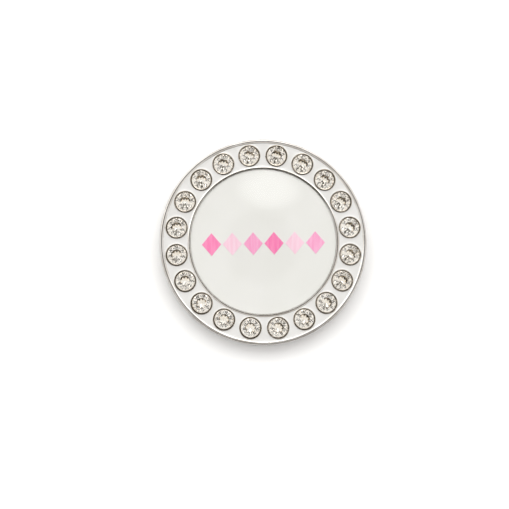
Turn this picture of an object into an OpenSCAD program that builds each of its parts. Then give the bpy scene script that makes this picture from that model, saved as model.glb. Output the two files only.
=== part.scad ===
// Golf ball marker: a cast metal disc with a ring of cut stones set in white
// enamel round a printed label under a clear resin dome. Millimetres, +Z up.
// The origin is the centre of the back face, which is the face it rests on.

/* [Body] */
// Outside diameter of the metal body
body_d = 25.4; // [21:0.1:34]
// Height from the back face to the polished crests of the rims and cups
body_h = 2.2; // [1.8:0.1:4]
// Width of the outer rim
outer_rim_w = 0.5; // [0.4:0.02:0.8]
// Width of the inner rim, which fences the label and the resin
inner_rim_w = 0.36; // [0.28:0.02:0.6]
// Radius of the round on the outer rim's crest
rim_round = 0.3; // [0.16:0.02:0.38]
// Radius of the round on the inner rim's crest
inner_round = 0.22; // [0.2:0.02:0.4]
// Round on the back edge of the body
edge_round = 0.25; // [0.1:0.05:0.5]

/* [Stones] */
// Number of stones in the ring
stone_count = 20; // [10:1:20]
// Girdle diameter of a stone
stone_d = 2.4; // [1.8:0.1:2.9]
// Height of a stone's girdle band
girdle_t = 0.1; // [0.06:0.02:0.2]
// How far the top of the girdle sits below the lip of its cup
girdle_drop = 0.05; // [0:0.01:0.1]
// Wall of the cup round each stone
cup_wall = 0.125; // [0.08:0.01:0.16]
// Enamel left between a cup and the rims
cup_margin = 0.105; // [0.08:0.01:0.3]
// Gap between a stone and its seat
seat_gap = 0.02; // [0.01:0.01:0.04]
// Radius of the glue pocket under a stone's point
pocket_r = 0.45; // [0.3:0.05:0.6]
// Depth of the glue pocket below a stone's point
pocket_drop = 0.15; // [0.1:0.05:0.3]

/* [Enamel] */
// Depth of the enamel
enamel_t = 0.75; // [0.4:0.05:0.9]
// How far the enamel lies below the crests
enamel_drop = 0.1; // [0.1:0.05:0.4]

/* [Centre] */
// Rise of the resin from its edge to its middle
dome_rise = 0.7; // [0.3:0.1:1.6]
// Thickness of the resin at its edge
resin_edge_t = 0.1; // [0.1:0.05:0.6]
// How far the resin's edge lies below the inner rim's crest
resin_drop = 0.14; // [0.1:0.02:0.3]
// Thickness of the printed label
label_t = 0.2; // [0.1:0.05:0.3]
// Thickness of the adhesive film under the label
label_bond_t = 0.06; // [0.04:0.01:0.1]
// Number of printed lozenges in the row
lozenge_count = 6; // [2:1:8]
// Height of a lozenge
lozenge_h = 2.8; // [1.6:0.1:4]
// Gap between the points of neighbouring lozenges
lozenge_gap = 0.2; // [0.05:0.05:0.6]
// Label left clear at each end of the row
row_margin = 1.4; // [0.6:0.1:3]
// How far the row lies below the middle of the label
row_drop = 0.3; // [-1:0.1:1]
// Turn of the row from square with the stones
row_turn = 1; // [-3:0.5:3]
// Thickness of the printed ink
ink_t = 0.03; // [0.02:0.01:0.05]

/* [Back] */
// Diameter of the steel disc that a magnetic clip holds
steel_d = 12; // [8:0.5:14.5]
// Thickness of the steel disc
steel_t = 0.5; // [0.3:0.05:0.7]
// Thickness of the adhesive film over the steel disc
steel_bond_t = 0.05; // [0.03:0.01:0.1]
// How far the steel disc lies inside the back face
steel_drop = 0; // [0:0.01:0.1]
// Width of the raised ring round the steel disc
boss_w = 0.8; // [0.4:0.1:1.2]
// Width of the raised border at the edge of the back
border_w = 1.2; // [0.8:0.1:1.6]
// Depth of the textured field between the two
field_depth = 0.1; // [0.05:0.01:0.2]

/* [Hidden] */
// Clearance of the enamel, label, resin and steel disc in their recesses
inlay_gap = 0.02;
// How far a cup wall runs down into the body, so that the two are one casting
cup_root = 0.2;
// Clearance of a cutting shape above what it cuts
over = 1;
arc_steps = 10;
$fn = 96;

body_r = body_d / 2;
channel_out_r = body_r - outer_rim_w;
cup_in_r = stone_d / 2 + seat_gap;
cup_out_r = cup_in_r + cup_wall;
stone_ring_r = channel_out_r - cup_margin - cup_out_r;
channel_in_r = stone_ring_r - cup_out_r - cup_margin;
recess_r = channel_in_r - inner_rim_w;
lip_x = min(body_r - rim_round, channel_out_r + rim_round);
lip_end = acos((channel_out_r - lip_x) / rim_round);
inner_x = recess_r + inner_rim_w / 2;
inner_crest_r = max(inner_round, inner_rim_w / 2);
inner_end = acos(inner_rim_w / 2 / inner_crest_r);
lip_chamfer = cup_wall * 0.35;

enamel_top_z = body_h - enamel_drop;
channel_z = enamel_top_z - enamel_t;

resin_edge_z = body_h - resin_drop;
label_top_z = resin_edge_z - resin_edge_t;
label_z = label_top_z - label_t;
recess_z = label_z - label_bond_t;
inlay_r = recess_r - inlay_gap;
dome_r = (inlay_r * inlay_r + dome_rise * dome_rise) / (2 * dome_rise);
dome_centre_z = resin_edge_z + dome_rise - dome_r;
dome_fn = 720;
row_w = 2 * (inlay_r - row_margin);
lozenge_pitch = (row_w + lozenge_gap) / lozenge_count;
lozenge_w = lozenge_pitch - lozenge_gap;

pocket_steel_r = steel_d / 2 + inlay_gap;
pocket_steel_z = steel_drop + steel_t + steel_bond_t;
boss_r = pocket_steel_r + boss_w;
border_in_r = body_r - border_w;

// Proportions of a round brilliant, as shares of the girdle radius
table_share = 0.56;
crown_share = 0.36;
star_share = 0.74;
pavilion_share = 0.78;
lower_share = 0.26;
facets = 8;

stone_r = stone_d / 2;
girdle_top_z = body_h - girdle_drop;
girdle_z = girdle_top_z - girdle_t;
pavilion_h = stone_r * pavilion_share;
point_z = girdle_z - pavilion_h;
pocket_z = point_z - pocket_drop;
stone_turn = 360 / stone_count;

function stone_name(i) = str("stone_", i < 10 ? "0" : "", i);

function polar(r, angle, z) = [r * cos(angle), r * sin(angle), z];

function arc(x, z, r, from, to) =
    [for (i = [0:arc_steps]) let (a = from + (to - from) * i / arc_steps) [x + r * cos(a), z + r * sin(a)]];

// Puts its children at one stone's place, or at every stone's
module at_stone(i) {
    rotate(stone_turn * (i - 0.5)) translate([stone_ring_r, 0, 0]) children();
}

module at_all_stones() {
    for (i = [1:stone_count]) at_stone(i) children();
}

// Half section of the casting, before its cups: back, outer rim, channel,
// inner rim and centre recess
module body_section() {
    polygon(concat(
        [
            [0, pocket_steel_z],
            [pocket_steel_r, pocket_steel_z],
            [pocket_steel_r, 0],
            [boss_r, 0],
            [boss_r, field_depth],
            [border_in_r, field_depth],
            [border_in_r, 0]
        ],
        arc(body_r - edge_round, edge_round, edge_round, -90, 0),
        arc(body_r - rim_round, body_h - rim_round, rim_round, 0, 90),
        arc(lip_x, body_h - rim_round, rim_round, 90, lip_end),
        [
            [channel_out_r, channel_z],
            [channel_in_r, channel_z]
        ],
        arc(inner_x, body_h - inner_crest_r, inner_crest_r, inner_end, 180 - inner_end),
        [
            [recess_r, recess_z],
            [0, recess_z]
        ]
    ));
}

// The solid of one cup, with a chamfered lip, before its seat is cut
module cup_blank() {
    rotate_extrude()
        polygon([
            [0, channel_z - cup_root],
            [cup_out_r, channel_z - cup_root],
            [cup_out_r, body_h - lip_chamfer],
            [cup_out_r - lip_chamfer, body_h],
            [0, body_h]
        ]);
}

// What a cup's seat removes: a straight wall at the girdle, a cone that
// follows the stone's underside and a pocket for the glue
module cup_seat() {
    pocket_mouth_z = girdle_z - (cup_in_r - pocket_r) * pavilion_share;
    rotate_extrude()
        polygon([
            [0, pocket_z],
            [pocket_r, pocket_z],
            [pocket_r, pocket_mouth_z],
            [cup_in_r, girdle_z],
            [cup_in_r, body_h + over],
            [0, body_h + over]
        ]);
}

module marker_body() {
    color("silver")
        difference() {
            union() {
                rotate_extrude() body_section();
                at_all_stones() cup_blank();
            }
            at_all_stones() cup_seat();
        }
}

module enamel_ring() {
    color("white")
        translate([0, 0, channel_z])
            difference() {
                cylinder(h = enamel_t, r = channel_out_r - inlay_gap);
                translate([0, 0, -over]) cylinder(h = enamel_t + 2 * over, r = channel_in_r + inlay_gap);
                at_all_stones()
                    translate([0, 0, -over]) cylinder(h = enamel_t + 2 * over, r = cup_out_r + inlay_gap);
            }
}

module label_adhesive() {
    color("gainsboro") translate([0, 0, recess_z]) cylinder(h = label_bond_t, r = inlay_r);
}

module printed_label() {
    color("ivory") translate([0, 0, label_z]) cylinder(h = label_t, r = inlay_r);
}

// The row of lozenges as it is printed on the label
module lozenge_row() {
    rotate(row_turn)
        for (i = [0:lozenge_count - 1])
            translate([(i - (lozenge_count - 1) / 2) * lozenge_pitch, -row_drop, label_top_z])
                linear_extrude(ink_t)
                    polygon([[-lozenge_w / 2, 0], [0, -lozenge_h / 2], [lozenge_w / 2, 0], [0, lozenge_h / 2]]);
}

module printed_lozenges() {
    color("hotpink") lozenge_row();
}

// Clear resin poured on the label up to the inner rim, over the ink
module resin_dome() {
    color("whitesmoke", 0.35)
        difference() {
            rotate_extrude()
                intersection() {
                    translate([0, dome_centre_z]) circle(r = dome_r, $fn = dome_fn);
                    translate([0, label_top_z]) square([inlay_r, resin_edge_t + dome_rise + over]);
                }
            lozenge_row();
        }
}

// A round brilliant about the Z axis, with its point at z = 0. Rings from the
// table down: table, star points, girdle top, girdle foot, lower points. Star
// and lower points lie on the planes of the main facets beside them.
module brilliant() {
    r = stone_r;
    step = 360 / facets;
    table_r = r * table_share;
    star_r = r * star_share;
    lower_r = r * lower_share;
    crown_h = r * crown_share;
    top = pavilion_h + girdle_t;
    star_z = top + crown_h * (r - star_r * cos(step / 2)) / (r - table_r);
    lower_z = pavilion_h * lower_r * cos(step / 2) / r;
    points = concat(
        [for (i = [0:facets - 1]) polar(table_r, step * i, top + crown_h)],
        [for (i = [0:facets - 1]) polar(star_r, step * (i + 0.5), star_z)],
        [for (i = [0:2 * facets - 1]) polar(r, step * i / 2, top)],
        [for (i = [0:2 * facets - 1]) polar(r, step * i / 2, pavilion_h)],
        [for (i = [0:facets - 1]) polar(lower_r, step * (i + 0.5), lower_z)],
        [[0, 0, 0]]
    );
    star = facets;
    top_ring = 2 * facets;
    foot_ring = 4 * facets;
    lower = 6 * facets;
    culet = 7 * facets;
    faces = concat(
        [[for (i = [0:facets - 1]) facets - 1 - i]],
        [for (i = [0:facets - 1]) let (n = (i + 1) % facets) each [
            [i, n, star + i],
            [n, star + n, top_ring + 2 * n, star + i],
            [star + i, top_ring + 2 * i + 1, top_ring + 2 * i],
            [star + i, top_ring + 2 * n, top_ring + 2 * i + 1],
            [lower + i, foot_ring + 2 * i, foot_ring + 2 * i + 1],
            [lower + i, foot_ring + 2 * i + 1, foot_ring + 2 * n],
            [culet, lower + i, foot_ring + 2 * n, lower + n]
        ]],
        [for (k = [0:2 * facets - 1]) let (n = (k + 1) % (2 * facets))
            [top_ring + k, top_ring + n, foot_ring + n, foot_ring + k]]
    );
    polyhedron(points = points, faces = faces);
}

module stone(i) {
    color("lightcyan") at_stone(i) translate([0, 0, point_z]) brilliant();
}

// A bead of glue in each pocket, dished where the stone's point sits in it
module stone_adhesive() {
    bead_h = pocket_drop + (pocket_r - seat_gap) * pavilion_share;
    color("khaki")
        at_all_stones()
            difference() {
                translate([0, 0, pocket_z]) cylinder(h = bead_h, r = pocket_r - seat_gap);
                translate([0, 0, point_z - seat_gap])
                    cylinder(h = pavilion_h + seat_gap, r1 = 0, r2 = stone_r + seat_gap / pavilion_share);
            }
}

module steel_disc() {
    color("darkgray") translate([0, 0, steel_drop]) cylinder(h = steel_t, d = steel_d);
}

module steel_disc_adhesive() {
    color("gainsboro") translate([0, 0, steel_drop + steel_t]) cylinder(h = steel_bond_t, d = steel_d);
}

marker_body();
enamel_ring();
label_adhesive();
printed_label();
printed_lozenges();
resin_dome();
for (i = [1:stone_count]) {
    stone(i);
}
stone_adhesive();
steel_disc();
steel_disc_adhesive();
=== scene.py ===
import bpy, bmesh, math
from mathutils import Euler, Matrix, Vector


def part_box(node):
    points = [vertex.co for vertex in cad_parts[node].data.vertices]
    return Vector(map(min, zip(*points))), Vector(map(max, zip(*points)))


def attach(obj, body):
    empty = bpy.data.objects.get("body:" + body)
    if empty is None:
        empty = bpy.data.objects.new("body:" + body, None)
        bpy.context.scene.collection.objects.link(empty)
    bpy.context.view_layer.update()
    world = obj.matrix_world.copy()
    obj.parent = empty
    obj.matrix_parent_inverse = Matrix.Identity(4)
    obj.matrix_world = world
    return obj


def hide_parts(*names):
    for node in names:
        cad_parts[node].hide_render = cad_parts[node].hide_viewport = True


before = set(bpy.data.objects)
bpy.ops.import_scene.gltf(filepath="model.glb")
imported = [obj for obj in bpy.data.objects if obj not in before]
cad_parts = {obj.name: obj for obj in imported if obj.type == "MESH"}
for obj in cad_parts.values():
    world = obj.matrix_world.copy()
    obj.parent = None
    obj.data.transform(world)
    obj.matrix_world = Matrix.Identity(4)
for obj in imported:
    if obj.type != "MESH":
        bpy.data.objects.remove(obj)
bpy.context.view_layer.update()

mm = 0.001
scene = bpy.context.scene


# sizes that come from the frame

def boxOf(node):
    low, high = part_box(node)
    return Vector(low), Vector(high)


castHigh = boxOf("marker_body")[1]
bodyR, bodyTop = castHigh.x, castHigh.z
enamelLow, enamelHigh = boxOf("enamel_ring")
labelHigh = boxOf("printed_label")[1]
resinHigh = boxOf("resin_dome")[1]
inkLow, inkHigh = boxOf("printed_lozenges")
steelHigh = boxOf("steel_disc")[1]
stoneNames = sorted(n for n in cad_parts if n.startswith("stone_") and n[6:].isdigit())
firstLow, firstHigh = boxOf(stoneNames[0])
firstCentre = (firstLow + firstHigh) / 2
stoneCount = len(stoneNames)
stoneRingR = math.hypot(firstCentre.x, firstCentre.y)
stonePitch = 2 * math.pi / stoneCount


# small mesh helpers

def roundCorners(points, steps=4):
    # points are (r, z) or (r, z, radius); a radius turns the corner into an arc
    out = []
    for i, p in enumerate(points):
        if len(p) < 3 or i in (0, len(points) - 1):
            out.append((p[0], p[1]))
            continue
        here = Vector(p[:2])
        before = (Vector(points[i - 1][:2]) - here).normalized()
        after = (Vector(points[i + 1][:2]) - here).normalized()
        half = before.angle(after) / 2
        run = p[2] / math.tan(half)
        centre = here + (before + after).normalized() * (p[2] / math.sin(half))
        a, b = here + before * run - centre, here + after * run - centre
        turn = a.angle_signed(b)
        for k in range(steps + 1):
            t = -turn * k / steps
            out.append((
                centre.x + a.x * math.cos(t) - a.y * math.sin(t),
                centre.y + a.x * math.sin(t) + a.y * math.cos(t),
            ))
    return out


def arcPoints(x, z, radius, start, end, steps):
    return [
        (x + radius * math.cos(a), z + radius * math.sin(a))
        for a in (math.radians(start + (end - start) * k / steps) for k in range(steps + 1))
    ]


def addTurned(mesh, profile, segments, slot=0, slots=None):
    # revolves (r, z) points about Z; a point on the axis becomes one vertex
    rings = []
    for r, z in profile:
        if r < 1e-9:
            rings.append([mesh.verts.new((0, 0, z))])
        else:
            rings.append([
                mesh.verts.new((r * math.cos(a), r * math.sin(a), z))
                for a in (2 * math.pi * k / segments for k in range(segments))
            ])
    for n, (low, high) in enumerate(zip(rings, rings[1:])):
        index = slots[n] if slots else slot
        for k in range(segments):
            m = (k + 1) % segments
            if len(low) == 1:
                corners = (low[0], high[m], high[k])
            elif len(high) == 1:
                corners = (low[k], low[m], high[0])
            else:
                corners = (low[k], low[m], high[m], high[k])
            mesh.faces.new(corners).material_index = index
    return rings


def bridge(mesh, low, high, slot=0):
    n = len(low)
    for k in range(n):
        m = (k + 1) % n
        mesh.faces.new((low[k], low[m], high[m], high[k])).material_index = slot


def finishMesh(name, mesh, materials, weld=1e-6, sharp=32):
    bmesh.ops.remove_doubles(mesh, verts=mesh.verts, dist=weld)
    bmesh.ops.recalc_face_normals(mesh, faces=mesh.faces)
    data = bpy.data.meshes.new(name)
    mesh.to_mesh(data)
    mesh.free()
    for material in materials:
        data.materials.append(material)
    data.shade_smooth()
    data.set_sharp_from_angle(angle=math.radians(sharp))
    piece = bpy.data.objects.new(name, data)
    scene.collection.objects.link(piece)
    return piece


def settle(piece, slot, *nodes):
    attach(piece, "root")
    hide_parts(*nodes)
    print("made", piece.name, len(piece.data.polygons), "faces")


# node helpers

def node(tree, kind, inputs=None, **settings):
    made = tree.nodes.new(kind)
    for key, value in settings.items():
        setattr(made, key, value)
    for key, value in (inputs or {}).items():
        socket = made.inputs[key]
        if isinstance(value, bpy.types.NodeSocket):
            tree.links.new(value, socket)
        else:
            socket.default_value = value
    return made


def math1(tree, operation, a, b=0.0, c=0.0, clamp=False):
    return node(tree, "ShaderNodeMath", {0: a, 1: b, 2: c}, operation=operation, use_clamp=clamp).outputs[0]


def remap(tree, value, low, high, toLow=0.0, toHigh=1.0, smooth=True):
    made = node(
        tree, "ShaderNodeMapRange",
        {"Value": value, "From Min": low, "From Max": high, "To Min": toLow, "To Max": toHigh},
        interpolation_type="SMOOTHSTEP" if smooth else "LINEAR",
    )
    return made.outputs["Result"]


def mixColour(tree, factor, a, b, blend="MIX"):
    made = node(tree, "ShaderNodeMix", data_type="RGBA", blend_type=blend)
    for key, value in ((0, factor), (6, a), (7, b)):
        if isinstance(value, bpy.types.NodeSocket):
            tree.links.new(value, made.inputs[key])
        else:
            made.inputs[key].default_value = value if key == 0 else (*value[:3], 1)
    return made.outputs[2]


def newGroup(name, inputs, outputs, kind="ShaderNodeTree"):
    tree = bpy.data.node_groups.new(name, kind)
    for label, socketType, value in inputs:
        socket = tree.interface.new_socket(label, in_out="INPUT", socket_type=socketType)
        if value is not None:
            socket.default_value = value
    for label, socketType in outputs:
        tree.interface.new_socket(label, in_out="OUTPUT", socket_type=socketType)
    return tree, tree.nodes.new("NodeGroupInput"), tree.nodes.new("NodeGroupOutput")


def place(tree, group, inputs=None):
    made = tree.nodes.new("ShaderNodeGroup")
    made.node_tree = group
    for key, value in (inputs or {}).items():
        if isinstance(value, bpy.types.NodeSocket):
            tree.links.new(value, made.inputs[key])
        else:
            made.inputs[key].default_value = value
    return made


# shared surface effects

def buildSoftMottle():
    # slow drift between two colours, with a finer grain laid over it
    tree, source, sink = newGroup("softMottle", [
        ("Vector", "NodeSocketVector", None),
        ("Colour", "NodeSocketColor", (0.8, 0.8, 0.8, 1)),
        ("Drift Colour", "NodeSocketColor", (0.7, 0.7, 0.7, 1)),
        ("Patch Size", "NodeSocketFloat", 400.0),
        ("Grain Size", "NodeSocketFloat", 6000.0),
        ("Grain", "NodeSocketFloat", 0.1),
    ], [("Colour", "NodeSocketColor"), ("Grain", "NodeSocketFloat")])
    patches = node(tree, "ShaderNodeTexNoise", {
        "Vector": source.outputs["Vector"], "Scale": source.outputs["Patch Size"], "Detail": 3.0})
    grain = node(tree, "ShaderNodeTexNoise", {
        "Vector": source.outputs["Vector"], "Scale": source.outputs["Grain Size"], "Detail": 2.0})
    drift = remap(tree, patches.outputs["Fac"], 0.35, 0.65)
    centred = math1(tree, "SUBTRACT", grain.outputs["Fac"], 0.5)
    speck = math1(tree, "MULTIPLY", centred, source.outputs["Grain"])
    mask = math1(tree, "ADD", drift, speck, clamp=True)
    toned = mixColour(tree, mask, source.outputs["Colour"], source.outputs["Drift Colour"])
    tree.links.new(toned, sink.inputs["Colour"])
    tree.links.new(grain.outputs["Fac"], sink.inputs["Grain"])
    return tree


def buildHairScratches():
    # fine crossing hairlines and faint handling marks; 0 is clean, 1 is a scratch
    tree, source, sink = newGroup("hairScratches", [
        ("Vector", "NodeSocketVector", None),
        ("Size", "NodeSocketFloat", 900.0),
        ("Amount", "NodeSocketFloat", 0.5),
    ], [("Mask", "NodeSocketFloat"), ("Smudge", "NodeSocketFloat")])
    masks = []
    for turn, stretch in ((0.4, 22.0), (1.7, 30.0), (2.6, 26.0)):
        turned = node(tree, "ShaderNodeMapping", {
            "Vector": source.outputs["Vector"], "Rotation": (0.2, 0.1, turn), "Scale": (1.0, stretch, 1.0)})
        lines = node(tree, "ShaderNodeTexNoise", {
            "Vector": turned.outputs["Vector"], "Scale": source.outputs["Size"],
            "Detail": 1.0, "Distortion": 0.15})
        masks.append(remap(tree, lines.outputs["Fac"], 0.66, 0.74))
    together = math1(tree, "MAXIMUM", math1(tree, "MAXIMUM", masks[0], masks[1]), masks[2])
    patchy = node(tree, "ShaderNodeTexNoise", {
        "Vector": source.outputs["Vector"], "Scale": 260.0, "Detail": 2.0})
    where = remap(tree, patchy.outputs["Fac"], 0.4, 0.62)
    scratched = math1(tree, "MULTIPLY", math1(tree, "MULTIPLY", together, where), source.outputs["Amount"])
    tree.links.new(scratched, sink.inputs["Mask"])
    tree.links.new(where, sink.inputs["Smudge"])
    return tree


softMottle = buildSoftMottle()
hairScratches = buildHairScratches()


def newMaterial(name):
    material = bpy.data.materials.new(name)
    material.use_nodes = True
    tree = material.node_tree
    tree.nodes.clear()
    shader = tree.nodes.new("ShaderNodeBsdfPrincipled")
    out = tree.nodes.new("ShaderNodeOutputMaterial")
    tree.links.new(shader.outputs[0], out.inputs["Surface"])
    place3d = tree.nodes.new("ShaderNodeTexCoord").outputs["Object"]
    return material, tree, shader, place3d


def bumpInto(tree, shader, height, strength, distance):
    made = node(tree, "ShaderNodeBump", {"Height": height, "Strength": strength, "Distance": distance})
    tree.links.new(made.outputs["Normal"], shader.inputs["Normal"])


def scratchedRoughness(tree, shader, face, marks):
    # a hairline is rougher than the face it crosses
    rougher = math1(tree, "MULTIPLY", marks.outputs["Mask"], 0.2)
    tree.links.new(math1(tree, "ADD", face, rougher), shader.inputs["Roughness"])


metalLook = {
    "colour": (0.63, 0.61, 0.585, 1), "tarnish": (0.52, 0.495, 0.46, 1),
    "cupColour": (0.58, 0.525, 0.45, 1), "cupReach": (1.44 * mm, 1.38 * mm),
    "roughness": (0.035, 0.09), "scratches": 0.35, "bump": 0.00001,
    # the dark colour for the foot of the side wall and its height range are painted shade for the contact
    # shadow
    "baseShade": (0.26, 0.25, 0.235, 1), "baseShadeBelow": (0.1 * mm, 0.9 * mm),
}


def polishedNickel():
    look = metalLook
    material, tree, shader, where = newMaterial("polishedNickel")
    mottle = place(tree, softMottle, {
        "Vector": where, "Colour": look["colour"], "Drift Colour": look["tarnish"],
        "Patch Size": 350.0, "Grain Size": 5000.0, "Grain": 0.25})
    marks = place(tree, hairScratches, {"Vector": where, "Size": 700.0, "Amount": look["scratches"]})
    # painted shade: the side wall darkens towards its foot, standing in for the contact shadow along the
    # floor
    low = remap(tree, node(tree, "ShaderNodeSeparateXYZ", {0: where}).outputs[2], *look["baseShadeBelow"])
    flat = node(tree, "ShaderNodeVectorMath", {0: where, 1: (1.0, 1.0, 0.0)}, operation="MULTIPLY")
    radius = node(tree, "ShaderNodeVectorMath", {0: flat.outputs[0]}, operation="LENGTH").outputs["Value"]
    fromCups = math1(tree, "ABSOLUTE", math1(tree, "SUBTRACT", radius, stoneRingR))
    atCup = remap(tree, fromCups, *look["cupReach"])
    plated = mixColour(tree, atCup, mottle.outputs["Colour"], look["cupColour"])
    wall = remap(tree, radius, bodyR - 0.3 * mm, bodyR - 0.1 * mm)
    baseShaded = math1(tree, "MULTIPLY", math1(tree, "SUBTRACT", 1.0, low), wall)
    tree.links.new(mixColour(tree, baseShaded, plated, look["baseShade"]), shader.inputs["Base Color"])
    rough = remap(tree, marks.outputs["Smudge"], 0.0, 1.0, *look["roughness"])
    scratchedRoughness(tree, shader, rough, marks)
    shader.inputs["Metallic"].default_value = 1.0
    bumpInto(tree, shader, math1(tree, "MULTIPLY", marks.outputs["Mask"], -1.0), 0.5, look["bump"])
    return material


def blastedNickel():
    material, tree, shader, where = newMaterial("blastedNickel")
    mottle = place(tree, softMottle, {
        "Vector": where, "Colour": (0.66, 0.64, 0.61, 1), "Drift Colour": (0.56, 0.535, 0.50, 1),
        "Patch Size": 300.0, "Grain Size": 9000.0, "Grain": 0.9})
    pits = node(tree, "ShaderNodeTexVoronoi", {"Vector": where, "Scale": 7500.0}, feature="F1")
    tree.links.new(mottle.outputs["Colour"], shader.inputs["Base Color"])
    tree.links.new(remap(tree, mottle.outputs["Grain"], 0.3, 0.7, 0.34, 0.5), shader.inputs["Roughness"])
    shader.inputs["Metallic"].default_value = 1.0
    height = math1(tree, "ADD", pits.outputs["Distance"], mottle.outputs["Grain"])
    bumpInto(tree, shader, height, 0.8, 0.00003)
    return material


def brushedSteel():
    # turned face: fine rings about the disc's own axis
    material, tree, shader, where = newMaterial("brushedSteel")
    apart = node(tree, "ShaderNodeSeparateXYZ", {0: where})
    radius = math1(tree, "SQRT", math1(
        tree, "ADD", math1(tree, "MULTIPLY", apart.outputs[0], apart.outputs[0]),
        math1(tree, "MULTIPLY", apart.outputs[1], apart.outputs[1])))
    wander = node(tree, "ShaderNodeTexNoise", {"Vector": where, "Scale": 700.0, "Detail": 2.0})
    along = math1(tree, "ADD", math1(tree, "MULTIPLY", radius, 26000.0), wander.outputs["Fac"])
    rings = node(
        tree, "ShaderNodeTexNoise", {"W": along, "Scale": 1.0, "Detail": 4.0}, noise_dimensions="1D")
    mottle = place(tree, softMottle, {
        "Vector": where, "Colour": (0.60, 0.60, 0.60, 1), "Drift Colour": (0.48, 0.475, 0.465, 1),
        "Patch Size": 420.0, "Grain Size": 8000.0, "Grain": 0.5})
    marks = place(tree, hairScratches, {"Vector": where, "Size": 500.0, "Amount": 0.8})
    tree.links.new(mottle.outputs["Colour"], shader.inputs["Base Color"])
    rough = remap(tree, rings.outputs["Fac"], 0.3, 0.7, 0.22, 0.38)
    scratchedRoughness(tree, shader, rough, marks)
    shader.inputs["Metallic"].default_value = 1.0
    height = math1(tree, "SUBTRACT", rings.outputs["Fac"], marks.outputs["Mask"])
    bumpInto(tree, shader, height, 0.6, 0.00002)
    return material


enamelLook = {"colour": (0.745, 0.74, 0.73, 1), "drift": (0.71, 0.705, 0.69, 1), "roughness": (0.10, 0.2)}


def whiteEnamel():
    material, tree, shader, where = newMaterial("whiteEnamel")
    mottle = place(tree, softMottle, {
        "Vector": where, "Colour": enamelLook["colour"], "Drift Colour": enamelLook["drift"],
        "Patch Size": 420.0, "Grain Size": 4200.0, "Grain": 0.5})
    marks = place(tree, hairScratches, {"Vector": where, "Size": 420.0, "Amount": 0.3})
    waves = node(tree, "ShaderNodeTexNoise", {"Vector": where, "Scale": 900.0, "Detail": 1.0})
    tree.links.new(mottle.outputs["Colour"], shader.inputs["Base Color"])
    rough = remap(tree, marks.outputs["Smudge"], 0.0, 1.0, *enamelLook["roughness"])
    tree.links.new(rough, shader.inputs["Roughness"])
    shader.inputs["IOR"].default_value = 1.5
    bumpInto(tree, shader, waves.outputs["Fac"], 0.35, 0.00003)
    return material


filmLook = {"colour": (0.737, 0.737, 0.717, 1), "drift": (0.722, 0.724, 0.699, 1)}


def printedFilm():
    material, tree, shader, where = newMaterial("printedFilm")
    mottle = place(tree, softMottle, {
        "Vector": where, "Colour": filmLook["colour"], "Drift Colour": filmLook["drift"],
        "Patch Size": 220.0, "Grain Size": 7000.0, "Grain": 0.7})
    tree.links.new(mottle.outputs["Colour"], shader.inputs["Base Color"])
    tree.links.new(remap(tree, mottle.outputs["Grain"], 0.3, 0.7, 0.45, 0.6), shader.inputs["Roughness"])
    bumpInto(tree, shader, mottle.outputs["Grain"], 0.2, 0.00001)
    return material


def pinkInk(name, colour, pale):
    # a printed pink with faint upright banding from the press
    material, tree, shader, where = newMaterial(name)
    apart = node(tree, "ShaderNodeMapping", {"Vector": where, "Scale": (3200.0, 260.0, 1.0)})
    bands = node(tree, "ShaderNodeTexNoise", {"Vector": apart.outputs[0], "Scale": 1.0, "Detail": 3.0})
    grain = node(tree, "ShaderNodeTexNoise", {"Vector": where, "Scale": 9000.0, "Detail": 2.0})
    mask = math1(tree, "ADD", remap(tree, bands.outputs["Fac"], 0.38, 0.64), math1(
        tree, "MULTIPLY", math1(tree, "SUBTRACT", grain.outputs["Fac"], 0.5), 0.8), clamp=True)
    tree.links.new(mixColour(tree, mask, colour, pale), shader.inputs["Base Color"])
    tree.links.new(remap(tree, grain.outputs["Fac"], 0.3, 0.7, 0.4, 0.55), shader.inputs["Roughness"])
    return material


resinLook = {"colour": (0.995, 0.993, 0.985, 1), "ior": 1.46, "through": (0.97, 0.97, 0.965, 1)}


def clearResin():
    material, tree, shader, where = newMaterial("clearResin")
    waves = node(tree, "ShaderNodeTexNoise", {"Vector": where, "Scale": 160.0, "Detail": 1.0})
    marks = place(tree, hairScratches, {"Vector": where, "Size": 380.0, "Amount": 0.4})
    shader.inputs["Base Color"].default_value = resinLook["colour"]
    shader.inputs["Transmission Weight"].default_value = 1.0
    shader.inputs["IOR"].default_value = resinLook["ior"]
    tree.links.new(remap(tree, marks.outputs["Mask"], 0.0, 1.0, 0.015, 0.12), shader.inputs["Roughness"])
    bumpInto(tree, shader, waves.outputs["Fac"], 0.2, 0.00004)
    # light falls straight through to the label, so the print is lit as if uncovered
    path = tree.nodes.new("ShaderNodeLightPath")
    clear = node(tree, "ShaderNodeBsdfTransparent", {"Color": resinLook["through"]})
    through = math1(tree, "MAXIMUM", path.outputs["Is Shadow Ray"], path.outputs["Is Diffuse Ray"])
    both = node(tree, "ShaderNodeMixShader", {0: through, 1: shader.outputs[0], 2: clear.outputs[0]})
    tree.links.new(both.outputs[0], tree.nodes["Material Output"].inputs["Surface"])
    return material


stoneLook = {
    # the second colour here and its reach are painted shade, browning the glass towards the girdle beside
    # the collar
    "glass": (0.997, 0.99, 0.98), "girdleShade": (0.90, 0.86, 0.80), "girdleShadeFrom": (0.78, 0.97), "ior": 1.56,
    "foil": (0.99, 0.98, 0.955, 1), "foilDrift": (0.95, 0.925, 0.88, 1),
    # this colour and its reach are painted shade, browning the foil towards the girdle
    "foilShade": (0.66, 0.58, 0.49), "foilShadeFrom": (0.88, 1.0),
}


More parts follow.
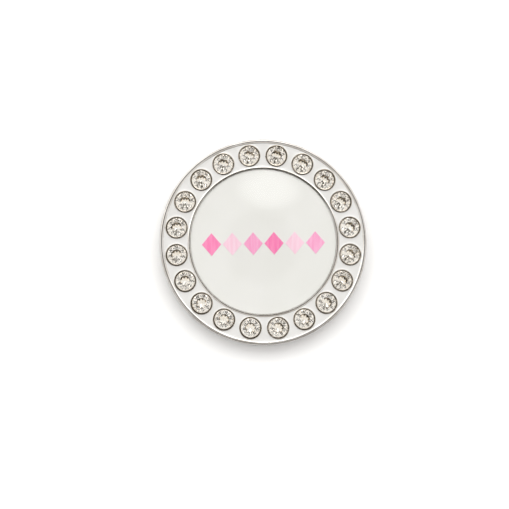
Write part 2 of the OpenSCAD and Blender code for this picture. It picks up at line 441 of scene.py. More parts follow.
def cutCrystal():
    material, tree, shader, where = newMaterial("cutCrystal")
    marks = place(tree, hairScratches, {"Vector": where, "Size": 1500.0, "Amount": 0.3})
    # painted shade: the glass browns in patches towards the girdle, beside the collar
    edge = node(tree, "ShaderNodeAttribute", attribute_name="edge").outputs["Fac"]
    girdleShade = node(tree, "ShaderNodeTexNoise", {"Vector": where, "Scale": 1600.0, "Detail": 2.0})
    patches = remap(tree, girdleShade.outputs["Fac"], 0.4, 0.58, 0.15, 1.0)
    mask = math1(tree, "MULTIPLY", remap(tree, edge, *stoneLook["girdleShadeFrom"]), patches)
    tree.links.new(mixColour(tree, mask, stoneLook["glass"], stoneLook["girdleShade"]), shader.inputs["Base Color"])
    shader.inputs["Transmission Weight"].default_value = 1.0
    shader.inputs["IOR"].default_value = stoneLook["ior"]
    tree.links.new(remap(tree, marks.outputs["Mask"], 0.0, 1.0, 0.0, 0.1), shader.inputs["Roughness"])
    return material


def stoneFoil():
    material, tree, shader, where = newMaterial("stoneFoil")
    mottle = place(tree, softMottle, {
        "Vector": where, "Colour": stoneLook["foil"], "Drift Colour": stoneLook["foilDrift"],
        "Patch Size": 900.0, "Grain Size": 6000.0, "Grain": 0.6})
    # painted shade: the foil browns in patches towards the girdle, next to the collar
    edge = node(tree, "ShaderNodeAttribute", attribute_name="edge").outputs["Fac"]
    patches = remap(tree, mottle.outputs["Grain"], 0.4, 0.6, 0.2, 1.0)
    foilShade = math1(tree, "MULTIPLY", remap(tree, edge, *stoneLook["foilShadeFrom"]), patches)
    shadedFoil = mixColour(tree, foilShade, mottle.outputs["Colour"], stoneLook["foilShade"])
    tree.links.new(shadedFoil, shader.inputs["Base Color"])
    tree.links.new(remap(tree, mottle.outputs["Grain"], 0.3, 0.7, 0.03, 0.09), shader.inputs["Roughness"])
    shader.inputs["Metallic"].default_value = 1.0
    return material


def clearGlue():
    material, tree, shader, where = newMaterial("clearGlue")
    mottle = place(tree, softMottle, {
        "Vector": where, "Colour": (0.72, 0.66, 0.48, 1), "Drift Colour": (0.60, 0.53, 0.36, 1),
        "Patch Size": 900.0, "Grain Size": 5000.0, "Grain": 0.4})
    tree.links.new(mottle.outputs["Colour"], shader.inputs["Base Color"])
    tree.links.new(remap(tree, mottle.outputs["Grain"], 0.3, 0.7, 0.2, 0.35), shader.inputs["Roughness"])
    return material


nickel = polishedNickel()
blasted = blastedNickel()
steel = brushedSteel()
enamel = whiteEnamel()
film = printedFilm()
resin = clearResin()
crystal = cutCrystal()
foil = stoneFoil()
glue = clearGlue()
inks = [
    pinkInk("deepPink", (0.85, 0.175, 0.405), (0.875, 0.245, 0.47)),
    pinkInk("palePink", (0.855, 0.55, 0.67), (0.87, 0.62, 0.73)),
    pinkInk("midPink", (0.84, 0.31, 0.53), (0.865, 0.40, 0.61)),
]
print("materials ready")


# the cast body: turned rims and back, with a cup for each stone in the channel

castSizes = {
    "outerRim": 0.5, "innerRim": 0.36, "lipFall": 0.085, "outerRound": 0.22, "backEdge": 0.25,
    "stone": 2.4, "cupWall": 0.125, "cupMargin": 0.105, "girdleDrop": 0.05, "girdleBand": 0.1,
    "seatGap": 0.02, "pavilion": 0.78, "pocket": 0.45, "pocketDrop": 0.15,
    "boss": 0.8, "border": 1.2, "fieldDepth": 0.1, "steelBond": 0.05, "inlayGap": 0.02,
    "softCorner": 0.06, "rubbed": 0.055, "foot": 0.03, "bevelRun": 0.042, "bevelFall": 0.042,
    "proud": 0.014, "collarRound": 0.01, "lipRound": 0.004, "lipDepth": 0.008, "lipBack": 0.09,
    "landIn": 0.12, "landOut": 0.22, "innerFall": 0.13, "outerFall": 0.05,
    "landRound": 0.03, "wallRound": 0.02, "segments": 360,
}
stoneR = castSizes["stone"] / 2 * mm
cupIn = stoneR + castSizes["seatGap"] * mm
cupOut = cupIn + castSizes["cupWall"] * mm
cupFoot = cupOut + castSizes["foot"] * mm
channelOut = bodyR - castSizes["outerRim"] * mm
channelIn = stoneRingR - cupOut - castSizes["cupMargin"] * mm
recessR = channelIn - castSizes["innerRim"] * mm
channelZ = enamelLow.z
recessZ = boxOf("label_adhesive")[0].z
girdleZ = bodyTop - (castSizes["girdleDrop"] + castSizes["girdleBand"]) * mm
cellSteps = castSizes["segments"] // stoneCount


def between(a, b, t):
    return a[0] + (b[0] - a[0]) * t, a[1] + (b[1] - a[1]) * t


def circleAt(centre, radius, angles, turn):
    x, y = centre
    return [(x + radius * math.cos(a + turn), y + radius * math.sin(a + turn)) for a in angles]


def cellLoop(inner, outer, ringR, circleR, middle):
    # the outline of one stone's share of the channel, and a circle round the stone
    # that matches it point for point
    half = stonePitch / 2
    n = cellSteps
    polar = [(outer, -half + 2 * half * k / n) for k in range(n)]
    polar += [(outer + (inner - outer) * k / n, half) for k in range(n)]
    polar += [(inner, half - 2 * half * k / n) for k in range(n)]
    polar += [(inner + (outer - inner) * k / n, -half) for k in range(n)]
    outline = [(r * math.cos(a + middle), r * math.sin(a + middle)) for r, a in polar]
    corners = [
        math.atan2(r * math.sin(a), r * math.cos(a) - ringR)
        for r, a in ((outer, -half), (outer, half), (inner, half), (inner, -half))
    ]
    corners = [corners[0], corners[1], corners[2], corners[3] + 2 * math.pi, corners[0] + 2 * math.pi]
    angles = [corners[q] + (corners[q + 1] - corners[q]) * k / n for q in range(4) for k in range(n)]
    centre = (ringR * math.cos(middle), ringR * math.sin(middle))
    return outline, circleAt(centre, circleR, angles, middle), centre, angles


def castBody():
    s = {k: v * mm for k, v in castSizes.items() if k not in ("segments", "pavilion")}
    mesh = bmesh.new()
    pocketR = steelHigh.x + s["inlayGap"]
    pocketZ = steelHigh.z + s["steelBond"]
    bossR = pocketR + s["boss"]
    borderIn = bodyR - s["border"]
    soft = s["softCorner"]
    back = roundCorners([
        (0, pocketZ), (pocketR, pocketZ), (pocketR, 0, soft * 0.5),
        (bossR, 0, soft), (bossR, s["fieldDepth"], soft * 0.5),
        (borderIn, s["fieldDepth"], soft * 0.5), (borderIn, 0, soft), (bodyR - s["backEdge"], 0)])
    side = arcPoints(bodyR - s["backEdge"], s["backEdge"], s["backEdge"], -90, 0, 10)
    crestX = bodyR - s["outerRound"]
    lipRun = crestX - channelOut
    lipR = (lipRun ** 2 + s["lipFall"] ** 2) / (2 * s["lipFall"])
    crest = arcPoints(crestX, bodyTop - s["outerRound"], s["outerRound"], 0, 90, 14)
    lip = arcPoints(crestX, bodyTop - lipR, lipR, 90, 90 + math.degrees(math.asin(lipRun / lipR)), 12)[1:]
    outerProfile = back[:-1] + side + crest + lip + [(channelOut, channelZ)]
    slots = []
    for a, b in zip(outerProfile, outerProfile[1:]):       # the sunken field of the back is blasted
        level = all(abs(p[1] - s["fieldDepth"]) < s["fieldDepth"] * 0.1 for p in (a, b))
        slots.append(1 if level and bossR * 0.99 < a[0] and b[0] < borderIn * 1.01 else 0)
    addTurned(mesh, outerProfile, castSizes["segments"], slots=slots)
    inner = roundCorners([
        (channelIn, channelZ), (channelIn, bodyTop - s["outerFall"], s["landRound"]),
        (recessR + s["landOut"], bodyTop, s["landRound"]), (recessR + s["landIn"], bodyTop, s["wallRound"]),
        (recessR, bodyTop - s["innerFall"], s["wallRound"]), (recessR, recessZ)], steps=5)
    addTurned(mesh, inner + [(recessR * 0.5, recessZ), (0, recessZ)], castSizes["segments"])
    rubbedR = stoneR - s["rubbed"]
    collarTop = bodyTop + s["proud"]
    pocketMouth = girdleZ - (cupIn - s["pocket"]) * castSizes["pavilion"]
    pointZ = girdleZ - stoneR * castSizes["pavilion"]
    pocketFloor = pointZ - s["pocketDrop"]
    for k in range(stoneCount):
        middle = (k + 0.5) * stonePitch
        outline, circle, centre, angles = cellLoop(channelIn, channelOut, stoneRingR, cupFoot, middle)
        rings = []
        for t in (0.0, 0.5, 1.0):
            rings.append([mesh.verts.new((*between(o, c, t), channelZ)) for o, c in zip(outline, circle)])
        # the collar is rubbed over the stone's edge, and its underside follows the crown
        cup = roundCorners([
            (cupFoot, channelZ), (cupFoot, collarTop - s["bevelFall"], s["collarRound"]),
            (cupFoot - s["bevelRun"], collarTop, s["wallRound"]), (rubbedR, collarTop, s["lipRound"]),
            (rubbedR, collarTop - s["lipDepth"]), (cupIn, girdleZ + s["lipBack"])], steps=3)[1:]
        cup += [(cupIn, girdleZ), (s["pocket"], pocketMouth), (s["pocket"], pocketFloor)]
        for r, z in cup:
            rings.append([mesh.verts.new((x, y, z)) for x, y in circleAt(centre, r, angles, middle)])
        for low, high in zip(rings, rings[1:]):
            bridge(mesh, low, high)
        floor = mesh.verts.new((centre[0], centre[1], pocketFloor))
        for q in range(len(angles)):
            mesh.faces.new((rings[-1][q], rings[-1][(q + 1) % len(angles)], floor))
    return finishMesh("castBody", mesh, [nickel, blasted])


castPiece = castBody()
settle(castPiece, "nickel_plate", "marker_body")


# the enamel: fills the channel and creeps up every wall it meets

enamelSizes = {
    "gap": 0.004, "rise": 0.045, "wallRise": 0.02, "reach": 0.072, "sag": 0.012, "sagReach": 0.3,
    "depth": 0.5,
    "steps": (0.0, 0.03, 0.08, 0.16, 0.28, 0.42, 0.58, 0.72, 0.84, 0.92, 0.97, 1.0),
}


def enamelRing():
    s = enamelSizes
    gap = s["gap"] * mm
    inner, outer, cup = channelIn + gap, channelOut - gap, cupFoot + gap
    low = enamelHigh.z - s["depth"] * mm
    mesh = bmesh.new()
    for k in range(stoneCount):
        outline, circle, centre, angles = cellLoop(inner, outer, stoneRingR, cup, (k + 0.5) * stonePitch)

        def height(x, y):
            r = math.hypot(x, y)
            toCup = max(math.hypot(x - centre[0], y - centre[1]) - cup, 0.0) / mm
            toWall = max(min(outer - r, r - inner), 0.0) / mm
            atCup = s["rise"] * math.exp(-toCup / s["reach"])
            atWall = s["wallRise"] * math.exp(-toWall / s["reach"])
            sag = s["sag"] * (1 - math.exp(-min(toCup, toWall) / s["sagReach"]))
            return enamelHigh.z + (max(atCup, atWall) - sag) * mm

        top, bottom = [], []
        for t in s["steps"]:                            # from the cell's edge to the cup
            points = [between(o, c, t) for o, c in zip(outline, circle)]
            top.append([mesh.verts.new((x, y, height(x, y))) for x, y in points])
            if t in (0.0, 1.0):
                bottom.append([mesh.verts.new((x, y, low)) for x, y in points])
        for a, b in zip(top, top[1:]):
            bridge(mesh, a, b)
        bridge(mesh, top[-1], bottom[-1])
        bridge(mesh, bottom[-1], bottom[0])
        n = cellSteps
        for start in (0, 2 * n):                        # the two arcs have a wall, the sides are shared
            for q in range(start, start + n):
                m = (q + 1) % (4 * n)
                mesh.faces.new((bottom[0][q], bottom[0][m], top[0][m], top[0][q]))
    return finishMesh("enamelRing", mesh, [enamel], sharp=50)


enamelPiece = enamelRing()
settle(enamelPiece, "white_enamel", "enamel_ring")


# the stones: one cut, repeated round the ring by a node tree

stoneCut = {
    "band": 0.1, "table": 0.56, "crown": 0.36, "star": 0.74, "pavilion": 0.78, "lower": 0.26, "facets": 8,
    "tilt": 1.6, "seed": 7,
}


def cutStone():
    s = stoneCut
    n = s["facets"]
    r = stoneR
    step = 2 * math.pi / n
    deep = r * s["pavilion"]
    top = deep + s["band"] * mm
    tableR, starR, lowerR = r * s["table"], r * s["star"], r * s["lower"]
    crownH = r * s["crown"]
    starZ = top + crownH * (r - starR * math.cos(step / 2)) / (r - tableR)
    lowerZ = deep * lowerR * math.cos(step / 2) / r
    mesh = bmesh.new()
    foilFlag = mesh.faces.layers.bool.new("foil")

    def ring(radius, z, count, shift=0.0):
        return [
            mesh.verts.new((radius * math.cos(a), radius * math.sin(a), z - deep))
            for a in (2 * math.pi * (k + shift) / count for k in range(count))]

    table, star = ring(tableR, top + crownH, n), ring(starR, starZ, n, 0.5)
    high, low = ring(r, top, 2 * n), ring(r, deep, 2 * n)
    lower = ring(lowerR, lowerZ, n, 0.5)
    point = mesh.verts.new((0, 0, -deep))

    def face(*corners, under=False):
        mesh.faces.new(corners)[foilFlag] = under

    face(*table)
    for i in range(n):
        j = (i + 1) % n
        face(table[i], star[i], table[j])
        face(table[j], star[i], high[2 * j], star[j])
        face(star[i], high[2 * i], high[2 * i + 1])
        face(star[i], high[2 * i + 1], high[2 * j])
        face(lower[i], low[2 * i + 1], low[2 * i], under=True)
        face(lower[i], low[2 * j], low[2 * i + 1], under=True)
        face(point, lower[j], low[2 * j], lower[i], under=True)
    for k in range(2 * n):
        m = (k + 1) % (2 * n)
        face(high[k], low[k], low[m], high[m])
    bmesh.ops.recalc_face_normals(mesh, faces=mesh.faces)
    edge = mesh.verts.layers.float.new("edge")          # 0 on the stone's axis, 1 at its girdle
    for v in mesh.verts:
        v[edge] = math.hypot(v.co.x, v.co.y) / r
    data = bpy.data.meshes.new("cutStone")
    mesh.to_mesh(data)
    mesh.free()
    piece = bpy.data.objects.new("cutStone", data)
    scene.collection.objects.link(piece)
    return piece


def stoneRingTree():
    tree, source, sink = newGroup("stoneRing", [
        ("Stone", "NodeSocketObject", None),
        ("Count", "NodeSocketInt", 20),
        ("Ring Radius", "NodeSocketFloat", 0.01),
        ("Seat Height", "NodeSocketFloat", 0.002),
        ("Tilt", "NodeSocketFloat", 0.02),
        ("Seed", "NodeSocketInt", 1),
        ("Glass", "NodeSocketMaterial", None),
        ("Foil", "NodeSocketMaterial", None),
    ], [("Geometry", "NodeSocketGeometry")], "GeometryNodeTree")
    tree.is_modifier = True
    put = source.outputs
    line = node(tree, "GeometryNodeMeshLine", {"Count": put["Count"]})
    index = tree.nodes.new("GeometryNodeInputIndex").outputs[0]
    turns = math1(tree, "MULTIPLY", math1(tree, "ADD", index, 0.5), 2 * math.pi)
    angle = math1(tree, "DIVIDE", turns, put["Count"])
    spot = node(tree, "ShaderNodeCombineXYZ", {
        "X": math1(tree, "MULTIPLY", math1(tree, "COSINE", angle), put["Ring Radius"]),
        "Y": math1(tree, "MULTIPLY", math1(tree, "SINE", angle), put["Ring Radius"]),
        "Z": put["Seat Height"]})
    placed = node(tree, "GeometryNodeSetPosition", {
        "Geometry": line.outputs[0], "Position": spot.outputs[0]})
    spin = node(tree, "FunctionNodeRandomValue", {"Seed": put["Seed"]}, data_type="FLOAT")
    lean = node(tree, "FunctionNodeRandomValue", {"Seed": put["Seed"]}, data_type="FLOAT_VECTOR")
    tree.links.new(index, spin.inputs["ID"])
    tree.links.new(index, lean.inputs["ID"])
    spin.inputs[3].default_value = 2 * math.pi
    lean.inputs[0].default_value = (-1, -1, 0)
    lean.inputs[1].default_value = (1, 1, 0)
    leaning = node(tree, "ShaderNodeVectorMath", {0: lean.outputs[0]}, operation="SCALE")
    tree.links.new(put["Tilt"], leaning.inputs["Scale"])
    turned = node(tree, "ShaderNodeCombineXYZ", {"Z": spin.outputs[1]})
    both = node(
        tree, "ShaderNodeVectorMath", {0: leaning.outputs[0], 1: turned.outputs[0]}, operation="ADD")
    shape = node(tree, "GeometryNodeObjectInfo", {"Object": put["Stone"], "As Instance": True})
    copies = node(tree, "GeometryNodeInstanceOnPoints", {
        "Points": placed.outputs[0], "Instance": shape.outputs["Geometry"], "Rotation": both.outputs[0]})
    real = node(tree, "GeometryNodeRealizeInstances", {"Geometry": copies.outputs[0]})
    glassed = node(tree, "GeometryNodeSetMaterial", {"Geometry": real.outputs[0], "Material": put["Glass"]})
    under = node(tree, "GeometryNodeInputNamedAttribute", {"Name": "foil"}, data_type="BOOLEAN")
    foiled = node(tree, "GeometryNodeSetMaterial", {
        "Geometry": glassed.outputs[0], "Selection": under.outputs["Attribute"], "Material": put["Foil"]})
    tree.links.new(foiled.outputs[0], sink.inputs["Geometry"])
    return tree


def grow(name, tree, values):
    # runs a node tree on an empty mesh and keeps the result as a plain mesh
    piece = bpy.data.objects.new(name, bpy.data.meshes.new(name))
    scene.collection.objects.link(piece)
    modifier = piece.modifiers.new("grow", "NODES")
    modifier.node_group = tree
    sockets = {i.name: i.identifier for i in tree.interface.items_tree if i.in_out == "INPUT"}
    for key, value in values.items():
        modifier[sockets[key]] = value
    bpy.context.view_layer.update()
    graph = bpy.context.evaluated_depsgraph_get()
    made = bpy.data.meshes.new_from_object(
        piece.evaluated_get(graph), preserve_all_data_layers=True, depsgraph=graph)
    piece.modifiers.clear()
    piece.data = made
    made.name = name
    return piece


oneStone = cutStone()
stonePiece = grow("stoneRing", stoneRingTree(), {
    "Stone": oneStone, "Count": stoneCount, "Ring Radius": stoneRingR, "Seat Height": girdleZ,
    "Tilt": math.radians(stoneCut["tilt"]), "Seed": stoneCut["seed"], "Glass": crystal, "Foil": foil})
bpy.data.objects.remove(oneStone)
settle(stonePiece, "crystal", *stoneNames)


# the print: a row of lozenges in three pinks

rowSizes = {"count": 6, "gap": 0.2, "height": 2.8, "drop": 0.3, "turn": 1.0}


def lozengeRowTree():
    tree, source, sink = newGroup("lozengeRow", [
        ("Count", "NodeSocketInt", 6),
        ("Row Width", "NodeSocketFloat", 0.015),
        ("Gap", "NodeSocketFloat", 0.0002),
        ("Height", "NodeSocketFloat", 0.0028),
        ("Ink Thickness", "NodeSocketFloat", 0.00003),
        ("Base Height", "NodeSocketFloat", 0.0015),
        ("Drop", "NodeSocketFloat", 0.0003),
        ("Turn", "NodeSocketFloat", 0.017),
        ("First Ink", "NodeSocketMaterial", None),
        ("Second Ink", "NodeSocketMaterial", None),
        ("Third Ink", "NodeSocketMaterial", None),
    ], [("Geometry", "NodeSocketGeometry")], "GeometryNodeTree")
    tree.is_modifier = True
    put = source.outputs
    pitch = math1(tree, "DIVIDE", math1(tree, "ADD", put["Row Width"], put["Gap"]), put["Count"])
    width = math1(tree, "SUBTRACT", pitch, put["Gap"])
    line = node(tree, "GeometryNodeMeshLine", {"Count": put["Count"]})
    index = tree.nodes.new("GeometryNodeInputIndex").outputs[0]
    middle = math1(tree, "MULTIPLY", math1(tree, "SUBTRACT", put["Count"], 1.0), 0.5)
    spot = node(tree, "ShaderNodeCombineXYZ", {
        "X": math1(tree, "MULTIPLY", math1(tree, "SUBTRACT", index, middle), pitch),
        "Y": math1(tree, "MULTIPLY", put["Drop"], -1.0),
        "Z": math1(tree, "ADD", put["Base Height"], math1(tree, "MULTIPLY", put["Ink Thickness"], 0.5))})
    placed = node(tree, "GeometryNodeSetPosition", {
        "Geometry": line.outputs[0], "Position": spot.outputs[0]})
    prism = node(tree, "GeometryNodeMeshCylinder", {"Vertices": 4, "Radius": 0.5, "Depth": 1.0})
    size = node(tree, "ShaderNodeCombineXYZ", {"X": width, "Y": put["Height"], "Z": put["Ink Thickness"]})
    joined = tree.nodes.new("GeometryNodeJoinGeometry")
    turnOf = math1(tree, "FLOORED_MODULO", index, 3.0)
    for k in range(3):
        chosen = math1(tree, "COMPARE", turnOf, float(k), 0.1)
        copies = node(tree, "GeometryNodeInstanceOnPoints", {
            "Points": placed.outputs[0], "Selection": chosen,
            "Instance": prism.outputs["Mesh"], "Scale": size.outputs[0]})
        marked = node(
            tree, "GeometryNodeStoreNamedAttribute",
            {"Geometry": copies.outputs[0], "Name": "inkTurn", "Value": float(k)},
            data_type="FLOAT", domain="INSTANCE")
        tree.links.new(marked.outputs[0], joined.inputs[0])
    turned = node(tree, "GeometryNodeTransform", {
        "Geometry": joined.outputs[0],
        "Rotation": node(tree, "ShaderNodeCombineXYZ", {"Z": put["Turn"]}).outputs[0]})
    last = node(tree, "GeometryNodeRealizeInstances", {"Geometry": turned.outputs[0]})
    inkTurn = node(tree, "GeometryNodeInputNamedAttribute", {"Name": "inkTurn"}, data_type="FLOAT")
    for k, ink in enumerate(("First Ink", "Second Ink", "Third Ink")):
        chosen = math1(tree, "COMPARE", inkTurn.outputs["Attribute"], float(k), 0.1)
        last = node(tree, "GeometryNodeSetMaterial", {
            "Geometry": last.outputs[0], "Selection": chosen, "Material": put[ink]})
    tree.links.new(last.outputs[0], sink.inputs["Geometry"])
    return tree


lozengePiece = grow("printedLozenges", lozengeRowTree(), {
    "Count": rowSizes["count"], "Row Width": inkHigh.x - inkLow.x, "Gap": rowSizes["gap"] * mm,
    "Height": rowSizes["height"] * mm, "Ink Thickness": inkHigh.z - inkLow.z, "Base Height": inkLow.z,
    "Drop": rowSizes["drop"] * mm, "Turn": math.radians(rowSizes["turn"]),
    "First Ink": inks[0], "Second Ink": inks[1], "Third Ink": inks[2]})
settle(lozengePiece, "pink_ink", "printed_lozenges")


# the resin: a poured cap with a rolled edge, bedded a hair into the label

resinSizes = {"drop": 0.14, "bed": 0.02, "roll": 0.02, "rings": 64, "segments": 240}


def resinTree():
    tree, source, sink = newGroup("resinCap", [
        ("Radius", "NodeSocketFloat", 0.009),
        ("Foot", "NodeSocketFloat", 0.0014),
        ("Edge Height", "NodeSocketFloat", 0.002),
        ("Rise", "NodeSocketFloat", 0.0007),
        ("Roll", "NodeSocketFloat", 0.0002),
        ("Rings", "NodeSocketInt", 64),
        ("Segments", "NodeSocketInt", 240),
        ("Resin", "NodeSocketMaterial", None),
    ], [("Geometry", "NodeSocketGeometry")], "GeometryNodeTree")
    tree.is_modifier = True
    put = source.outputs
    sheet = node(tree, "GeometryNodeMeshGrid", {
        "Size X": 1.0, "Size Y": 1.0, "Vertices X": put["Rings"], "Vertices Y": put["Segments"]})
    spot = node(tree, "ShaderNodeSeparateXYZ", {0: tree.nodes.new("GeometryNodeInputPosition").outputs[0]})
    out = math1(tree, "ADD", spot.outputs[0], 0.5)                       # 0 in the middle, 1 at the edge
    near = math1(tree, "SUBTRACT", 1.0, math1(tree, "POWER", math1(tree, "SUBTRACT", 1.0, out), 1.6))
    angle = math1(tree, "MULTIPLY", math1(tree, "ADD", spot.outputs[1], 0.5), 2 * math.pi)
    radius = math1(tree, "MULTIPLY", near, put["Radius"])
    around = node(tree, "ShaderNodeCombineXYZ", {
        "X": math1(tree, "MULTIPLY", math1(tree, "COSINE", angle), radius),
        "Y": math1(tree, "MULTIPLY", math1(tree, "SINE", angle), radius), "Z": put["Foot"]})
    disc = node(tree, "GeometryNodeSetPosition", {
        "Geometry": sheet.outputs["Mesh"], "Position": around.outputs[0]})
    welded = node(tree, "GeometryNodeMergeByDistance", {"Geometry": disc.outputs[0], "Distance": 1e-7})
    # the cap: a low arch, rolled over in the last stretch before the edge
    spot = node(tree, "ShaderNodeSeparateXYZ", {0: tree.nodes.new("GeometryNodeInputPosition").outputs[0]})
    squares = [math1(tree, "POWER", math1(tree, "ABSOLUTE", spot.outputs[k]), 2.0) for k in (0, 1)]
    r = math1(tree, "SQRT", math1(tree, "ADD", *squares))
    share = math1(tree, "DIVIDE", r, put["Radius"])
    fall = math1(tree, "MULTIPLY", share, share)
    arch = math1(tree, "MULTIPLY", math1(tree, "SUBTRACT", 1.0, fall), put["Rise"])
    fromEdge = math1(tree, "SUBTRACT", put["Radius"], r)
    inset = math1(tree, "MAXIMUM", math1(tree, "SUBTRACT", put["Roll"], fromEdge), 0.0)
    rollSquare = math1(tree, "MULTIPLY", put["Roll"], put["Roll"])
    chord = math1(tree, "SUBTRACT", rollSquare, math1(tree, "MULTIPLY", inset, inset))
    rolled = math1(tree, "SUBTRACT", put["Roll"], math1(tree, "SQRT", math1(tree, "MAXIMUM", chord, 0.0)))
    thick = math1(tree, "SUBTRACT", put["Edge Height"], put["Foot"])
    height = math1(tree, "SUBTRACT", math1(tree, "ADD", thick, arch), rolled)
    lift = node(tree, "ShaderNodeCombineXYZ", {"Z": height})
    raised = node(
        tree, "GeometryNodeExtrudeMesh", {"Mesh": welded.outputs[0], "Offset Scale": 0.0}, mode="FACES")
    raised.inputs["Individual"].default_value = False
    cap = node(tree, "GeometryNodeSetPosition", {
        "Geometry": raised.outputs["Mesh"], "Selection": raised.outputs["Top"], "Offset": lift.outputs[0]})
    under = node(tree, "GeometryNodeFlipFaces", {"Mesh": welded.outputs[0]})
    joined = tree.nodes.new("GeometryNodeJoinGeometry")
    tree.links.new(cap.outputs[0], joined.inputs[0])
    tree.links.new(under.outputs[0], joined.inputs[0])
    closed = node(tree, "GeometryNodeMergeByDistance", {"Geometry": joined.outputs[0], "Distance": 1e-7})
    smooth = node(tree, "GeometryNodeSetShadeSmooth", {"Geometry": closed.outputs[0], "Shade Smooth": True})
    real = node(tree, "GeometryNodeRealizeInstances", {"Geometry": smooth.outputs[0]})
    poured = node(tree, "GeometryNodeSetMaterial", {"Geometry": real.outputs[0], "Material": put["Resin"]})
    tree.links.new(poured.outputs[0], sink.inputs["Geometry"])
    return tree


resinEdge = bodyTop - resinSizes["drop"] * mm
resinPiece = grow("resinDome", resinTree(), {
    "Radius": resinHigh.x, "Foot": labelHigh.z - resinSizes["bed"] * mm, "Edge Height": resinEdge,
    "Rise": resinHigh.z - resinEdge, "Roll": resinSizes["roll"] * mm,
    "Rings": resinSizes["rings"], "Segments": resinSizes["segments"] + 1, "Resin": resin})
resinPiece.data.set_sharp_from_angle(angle=math.radians(50))
settle(resinPiece, "clear_resin", "resin_dome")


# the steel disc in the back

steelSizes = {"frontRound": 0.06, "backRound": 0.04, "segments": 240}


def steelDisc():
    s = steelSizes
    mesh = bmesh.new()
    r, high = steelHigh.x, steelHigh.z
    profile = roundCorners([
        (0, 0), (r, 0, s["frontRound"] * mm), (r, high, s["backRound"] * mm), (0, high)], steps=4)
    profile = [(0, 0), (r * 0.35, 0), (r * 0.7, 0)] + profile[1:]       # two more rings keep the faces short
    addTurned(mesh, profile, s["segments"])
    return finishMesh("steelDisc", mesh, [steel])


steelPiece = steelDisc()
settle(steelPiece, "steel", "steel_disc")

# the pieces that keep their modelled shape take their finish here
carriedFinish = {
    "printed_label": film, "label_adhesive": glue, "stone_adhesive": glue, "steel_disc_adhesive": glue}
for nodeName, material in carriedFinish.items():
    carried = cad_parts[nodeName]
    carried.data.materials.clear()
    carried.data.materials.append(material)


# the studio

studio = {
    "sky": (0.985, 0.98, 0.985),
    # a patch of sky: its bearing, half width and fade, its zenith angles and their fade, its light
    "patches": [
        {"bearing": -95, "half": 48, "fade": 28, "from": 29, "to": 86, "soft": 8,
         "light": (0.06, 0.052, 0.045)},
        {"bearing": -95, "half": 60, "fade": 40, "from": 20, "to": 46, "soft": 6,
         "light": (0.95, 0.92, 0.88)},
        {"bearing": 180, "half": 35, "fade": 20, "from": 34, "to": 56, "soft": 7,
         "light": (1.3, 1.28, 1.25)},
        {"bearing": 0, "half": 35, "fade": 20, "from": 34, "to": 56, "soft": 7,
         "light": (1.3, 1.28, 1.25)},
        {"bearing": 98, "half": 50, "fade": 30, "from": 35, "to": 60, "soft": 7,
         "light": (2.9, 2.88, 2.81)},
    ],
    "overhead": {"toward": (0.04, 0.10, 1.0), "wide": (13.0, 8.0), "light": (0.07, 0.06, 0.048)},
    "panel": {"toward": (5.0, 23.3), "size": (7.5, 4.9), "fade": (2.4, 0.05), "light": (3.9, 3.9, 3.9)},
    "floor": (0.985, 0.985, 0.985), "glow": 0.04,
}


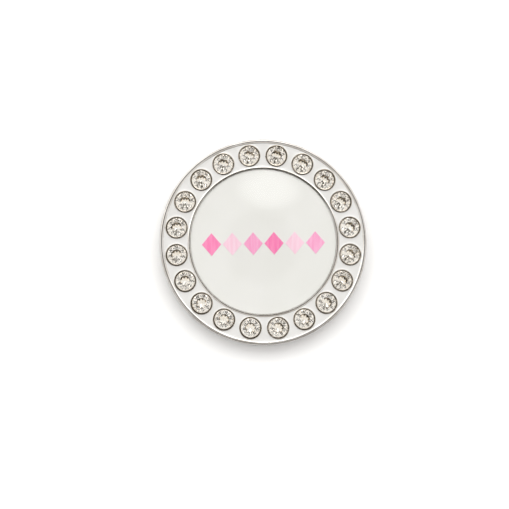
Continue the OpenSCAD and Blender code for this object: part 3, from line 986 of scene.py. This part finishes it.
def buildStudio():
    s = studio
    world = bpy.data.worlds.new("studioWorld")
    world.use_nodes = True
    scene.world = world
    tree = world.node_tree
    tree.nodes.clear()
    direction = tree.nodes.new("ShaderNodeTexCoord").outputs["Generated"]
    x, y, z = node(tree, "ShaderNodeSeparateXYZ", {0: direction}).outputs
    degrees = 180 / math.pi
    zenith = math1(tree, "MULTIPLY", math1(tree, "ARCCOSINE", z), degrees)
    bearing = math1(tree, "MULTIPLY", math1(tree, "ARCTAN2", y, x), degrees)
    light = s["sky"]
    for patch in s["patches"]:
        off = math1(tree, "WRAP", math1(tree, "SUBTRACT", bearing, float(patch["bearing"])), 180.0, -180.0)
        across = remap(tree, math1(tree, "ABSOLUTE", off), patch["half"] + patch["fade"], patch["half"])
        rise = remap(tree, zenith, patch["from"] - patch["soft"], patch["from"] + patch["soft"])
        fall = remap(tree, zenith, patch["to"] + patch["soft"], patch["to"] - patch["soft"])
        mask = math1(tree, "MULTIPLY", math1(tree, "MULTIPLY", across, rise), fall)
        light = mixColour(tree, mask, light, patch["light"])
    over = s["overhead"]
    toward = tuple(Vector(over["toward"]).normalized())
    facing = node(tree, "ShaderNodeVectorMath", {0: direction, 1: toward}, operation="DOT_PRODUCT")
    angle = math1(tree, "MULTIPLY", math1(tree, "ARCCOSINE", facing.outputs["Value"]), degrees)
    light = mixColour(tree, remap(tree, angle, *over["wide"]), light, over["light"])
    panel = s["panel"]                                  # the small soft light seen in the resin
    parts = []
    for side, middle, half in zip((x, y), panel["toward"], panel["size"]):
        lean = math1(tree, "MULTIPLY", math1(tree, "ARCTAN2", side, z), degrees)
        part = math1(tree, "DIVIDE", math1(tree, "SUBTRACT", lean, middle), half)
        parts.append(math1(tree, "POWER", math1(tree, "ABSOLUTE", part), 2.0))
    light = mixColour(tree, remap(tree, math1(tree, "ADD", *parts), *panel["fade"]), light, panel["light"])
    background = node(tree, "ShaderNodeBackground", {"Color": light, "Strength": 1.0})
    out = tree.nodes.new("ShaderNodeOutputWorld")
    tree.links.new(background.outputs[0], out.inputs["Surface"])

    material, floorTree, shader, where = newMaterial("paperSweep")
    grain = node(floorTree, "ShaderNodeTexNoise", {"Vector": where, "Scale": 900.0, "Detail": 3.0})
    darker, lighter = [tuple(c * k for c in s["floor"]) for k in (0.99, 1.01)]
    tone = mixColour(floorTree, grain.outputs["Fac"], darker, lighter)
    floorTree.links.new(tone, shader.inputs["Base Color"])
    shader.inputs["Roughness"].default_value = 0.9
    shader.inputs["Specular IOR Level"].default_value = 0.1
    shader.inputs["Emission Color"].default_value = (1, 1, 1, 1)
    shader.inputs["Emission Strength"].default_value = s["glow"]
    mesh = bmesh.new()
    bmesh.ops.create_grid(mesh, x_segments=1, y_segments=1, size=0.6)
    data = bpy.data.meshes.new("paperSweep")
    mesh.to_mesh(data)
    mesh.free()
    data.materials.append(material)
    sweep = bpy.data.objects.new("paperSweep", data)
    scene.collection.objects.link(sweep)


buildStudio()

camera = {
    "lens": 85.0, "acrossFrame": 62.15, "tilt": 7.0, "lean": -2.5, "roll": -0.45,
    "aside": 1.122, "below": 1.65, "height": 2.15,
}


def buildCamera():
    c = camera
    data = bpy.data.cameras.new("camera")
    data.lens = c["lens"]
    data.sensor_width = 36.0
    data.clip_start, data.clip_end = 0.005, 5.0
    piece = bpy.data.objects.new("camera", data)
    scene.collection.objects.link(piece)
    scene.camera = piece
    turn = Euler([math.radians(c[k]) for k in ("tilt", "lean", "roll")])
    away = c["lens"] / 36.0 * c["acrossFrame"] * mm
    target = Vector((-c["aside"], -c["below"], c["height"])) * mm
    piece.location = target + turn.to_matrix() @ Vector((0, 0, away))
    piece.rotation_euler = turn


buildCamera()
scene.view_settings.view_transform = "Standard"
scene.view_settings.look = "None"

print("scene ready")
